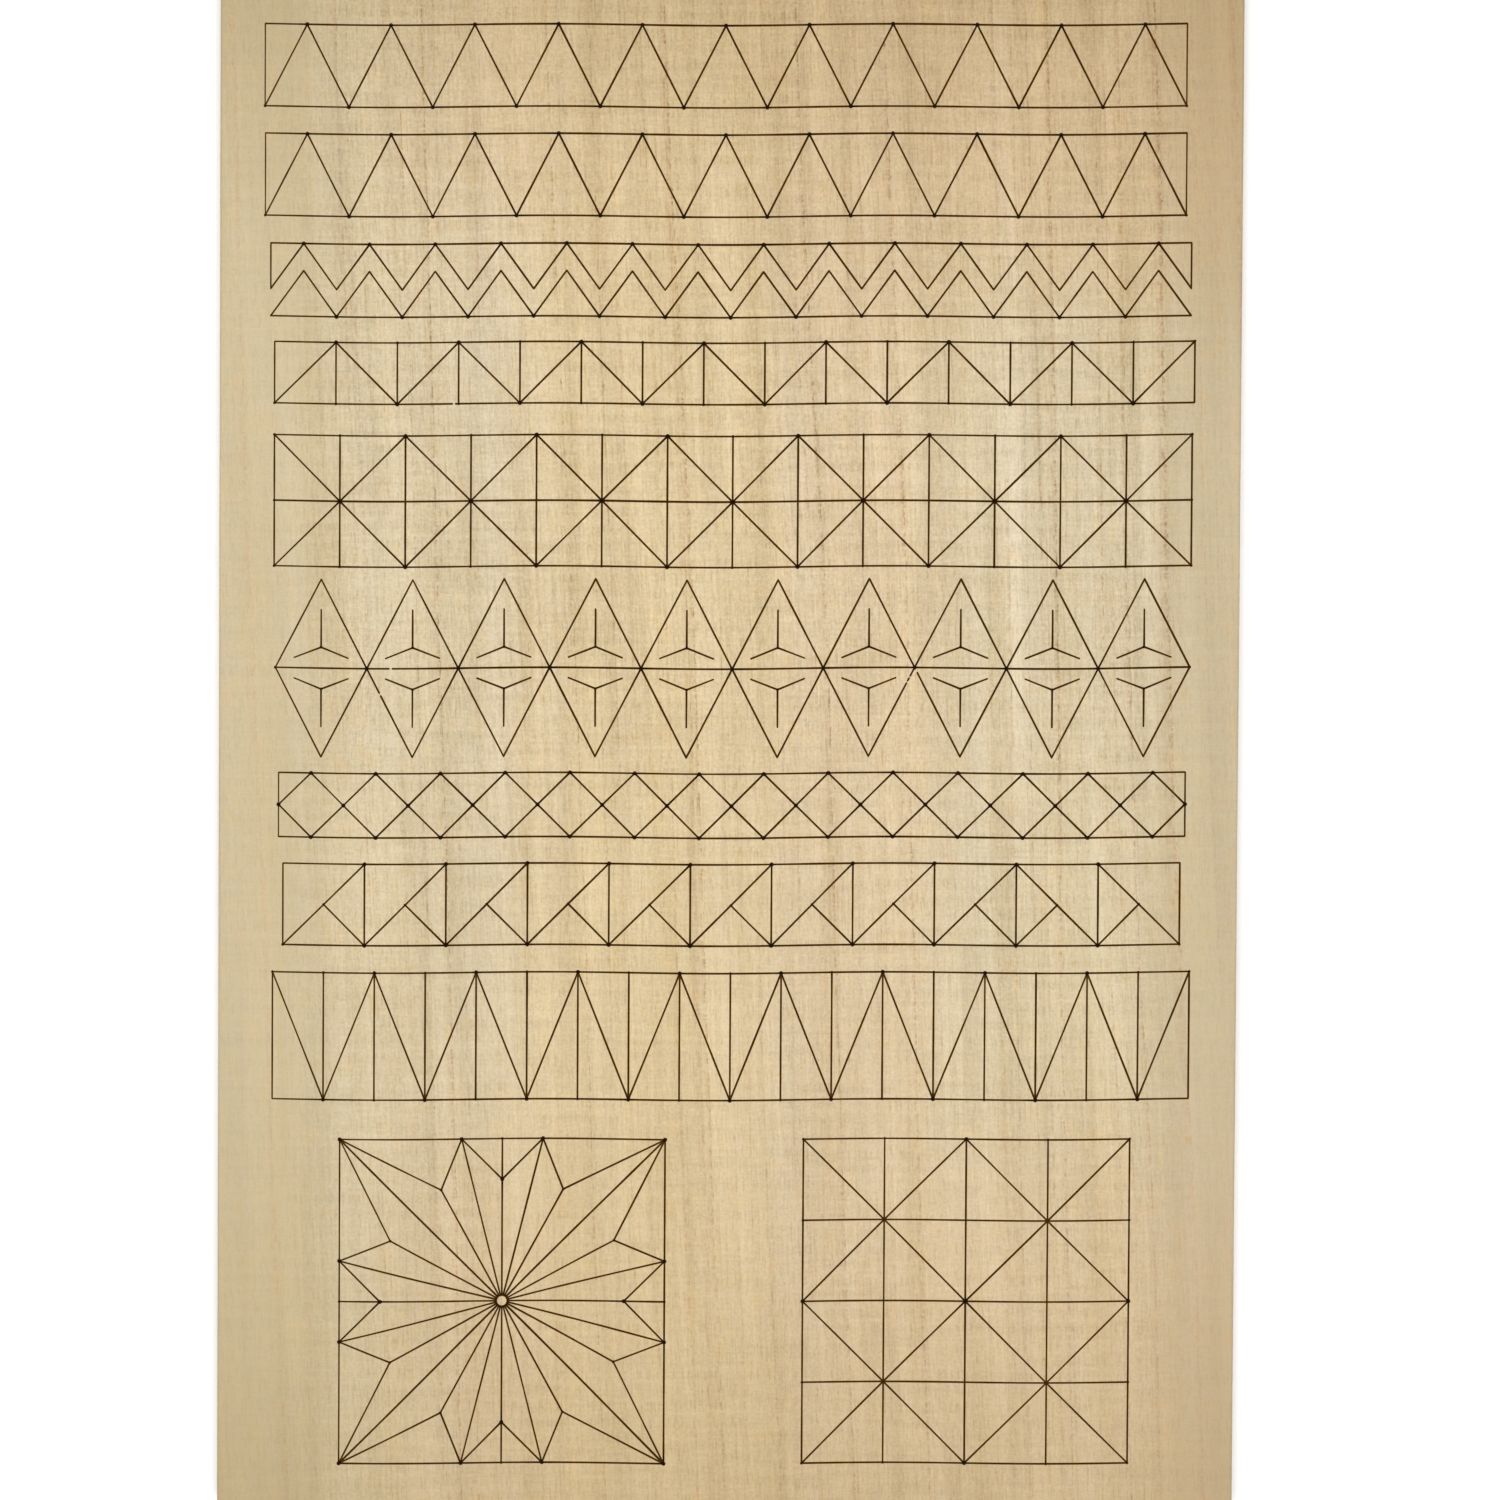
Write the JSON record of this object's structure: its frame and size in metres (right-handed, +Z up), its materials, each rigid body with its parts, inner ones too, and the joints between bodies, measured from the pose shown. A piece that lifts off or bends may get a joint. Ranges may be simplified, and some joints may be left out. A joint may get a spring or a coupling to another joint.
{
  "type": "chip carving practice board",
  "caption": "Flat linden practice board for chip carving, with rows of burnt geometric guide lines on its face and a rayed square and a grid square at one end.",
  "frame": {"origin": "middle of the board's underside", "axes": "+X across the board, to the right when the lines are read with the rayed square at the lower left; +Y along the grain and the board's length, towards the first row of triangles; +Z up, out of the face that carries the lines"},
  "size_m": [0.2, 0.3, 0.01],
  "materials": {
    "linden": "bare planed and sanded linden (basswood), matte",
    "char": "burnt linden in an engraved groove, matte dark brown to black"
  },
  "bodies": {
    "root": {"board": "linden", "triangle_row_upper": "char", "triangle_row_lower": "char", "zigzag_row": "char", "split_square_row": "char", "cross_row": "char", "rhombus_row": "char", "diamond_row": "char", "notched_square_row": "char", "wedge_row": "char", "rosette_square": "char", "grid_square": "char"}
  },
  "joints": []
}
